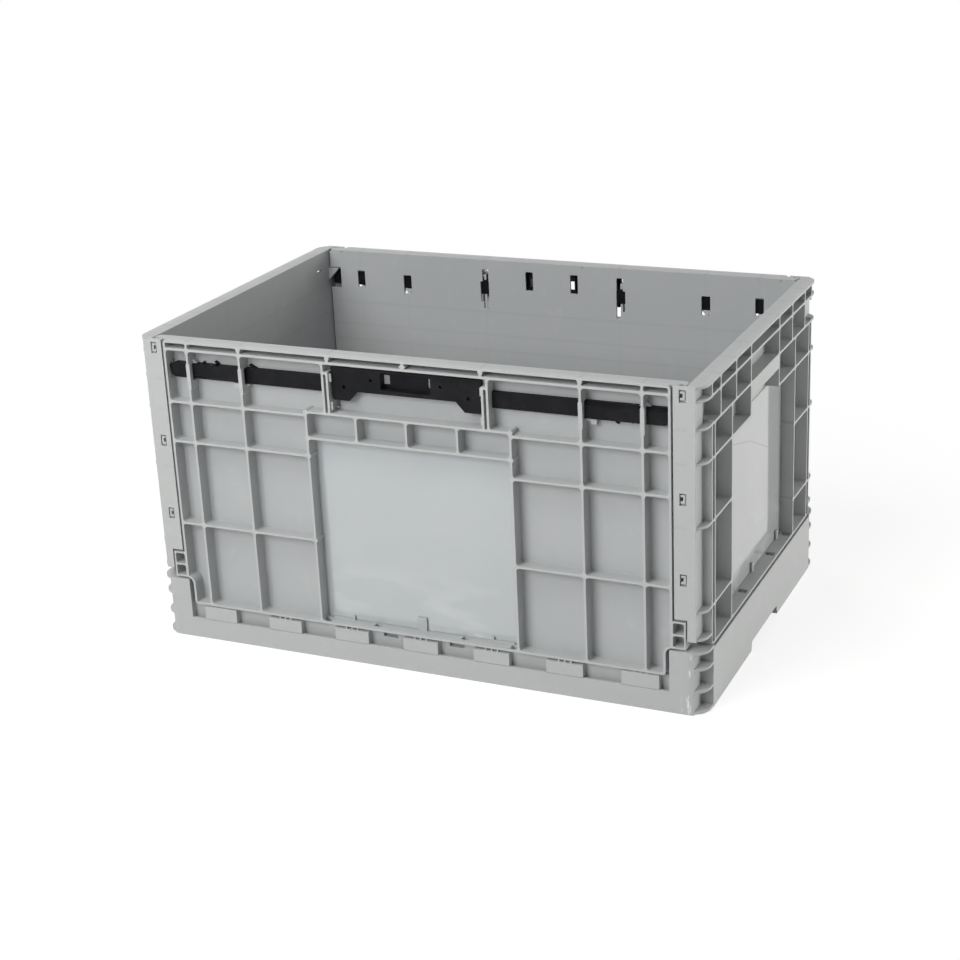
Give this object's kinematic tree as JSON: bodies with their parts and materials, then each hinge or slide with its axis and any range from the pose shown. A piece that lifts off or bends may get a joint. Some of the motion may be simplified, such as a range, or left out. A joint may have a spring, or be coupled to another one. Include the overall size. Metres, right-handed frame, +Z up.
{
  "type": "collapsible storage crate",
  "caption": "Open-topped ribbed plastic crate whose long walls fold down onto the floor, each held up by a slide latch with a press-down handle.",
  "frame": {"origin": "middle of the footprint, on the ground", "axes": "+X along the length towards the right-hand end seen from the front, +Y from the front wall to the rear wall, +Z up"},
  "size_m": [0.6, 0.4, 0.326],
  "materials": {
    "grey_plastic": "moulded polypropylene, satin",
    "black_plastic": "moulded nylon, fine matt grain",
    "clear_sheet": "clear smooth label sheet",
    "steel_rod": "drawn wire"
  },
  "bodies": {
    "frame": {"base_tray": "grey_plastic", "left_end_wall": "grey_plastic", "right_end_wall": "grey_plastic", "front_hinge_rod": "steel_rod", "rear_hinge_rod": "steel_rod", "left_hinge_rod": "steel_rod", "right_hinge_rod": "steel_rod", "front_left_keeper": "grey_plastic", "front_right_keeper": "grey_plastic", "rear_left_keeper": "grey_plastic", "rear_right_keeper": "grey_plastic", "left_label_sheet": "clear_sheet", "right_label_sheet": "clear_sheet"},
    "front_panel": {"front_wall": "grey_plastic", "front_label_sheet": "clear_sheet"},
    "rear_panel": {"rear_wall": "grey_plastic", "rear_label_sheet": "clear_sheet"},
    "front_latch_handle": {"front_handle": "black_plastic"},
    "rear_latch_handle": {"rear_handle": "black_plastic"},
    "front_left_latch_bar": {"front_left_bar": "black_plastic"},
    "front_right_latch_bar": {"front_right_bar": "black_plastic"},
    "rear_left_latch_bar": {"rear_left_bar": "black_plastic"},
    "rear_right_latch_bar": {"rear_right_bar": "black_plastic"}
  },
  "joints": [
    {"name": "front_wall_fold", "type": "hinge", "parent": "frame", "child": "front_panel", "pos_m": [0, -0.184, 0.0175], "axis": [-1, 0, 0], "range_deg": [0, 90]},
    {"name": "rear_wall_fold", "type": "hinge", "parent": "frame", "child": "rear_panel", "pos_m": [0, 0.184, 0.036], "axis": [1, 0, 0], "range_deg": [0, 90]},
    {"name": "front_handle_press", "type": "slide", "parent": "front_panel", "child": "front_latch_handle", "axis": [0, 0, -1], "range_m": [0, 0.012], "stiffness_N_per_m": 300, "springref_m": -0.01},
    {"name": "front_left_bar_slide", "type": "slide", "parent": "front_panel", "child": "front_left_latch_bar", "axis": [1, 0, 0], "range_m": [0, 0.012]},
    {"name": "front_right_bar_slide", "type": "slide", "parent": "front_panel", "child": "front_right_latch_bar", "axis": [-1, 0, 0], "range_m": [0, 0.012]},
    {"name": "rear_handle_press", "type": "slide", "parent": "rear_panel", "child": "rear_latch_handle", "axis": [0, 0, -1], "range_m": [0, 0.012], "stiffness_N_per_m": 300, "springref_m": -0.01},
    {"name": "rear_left_bar_slide", "type": "slide", "parent": "rear_panel", "child": "rear_left_latch_bar", "axis": [1, 0, 0], "range_m": [0, 0.012]},
    {"name": "rear_right_bar_slide", "type": "slide", "parent": "rear_panel", "child": "rear_right_latch_bar", "axis": [-1, 0, 0], "range_m": [0, 0.012]}
  ],
  "couplings": [
    {"joint": "front_left_bar_slide", "follows": "front_handle_press", "ratio": 1},
    {"joint": "front_right_bar_slide", "follows": "front_handle_press", "ratio": 1},
    {"joint": "rear_left_bar_slide", "follows": "rear_handle_press", "ratio": 1},
    {"joint": "rear_right_bar_slide", "follows": "rear_handle_press", "ratio": 1}
  ]
}
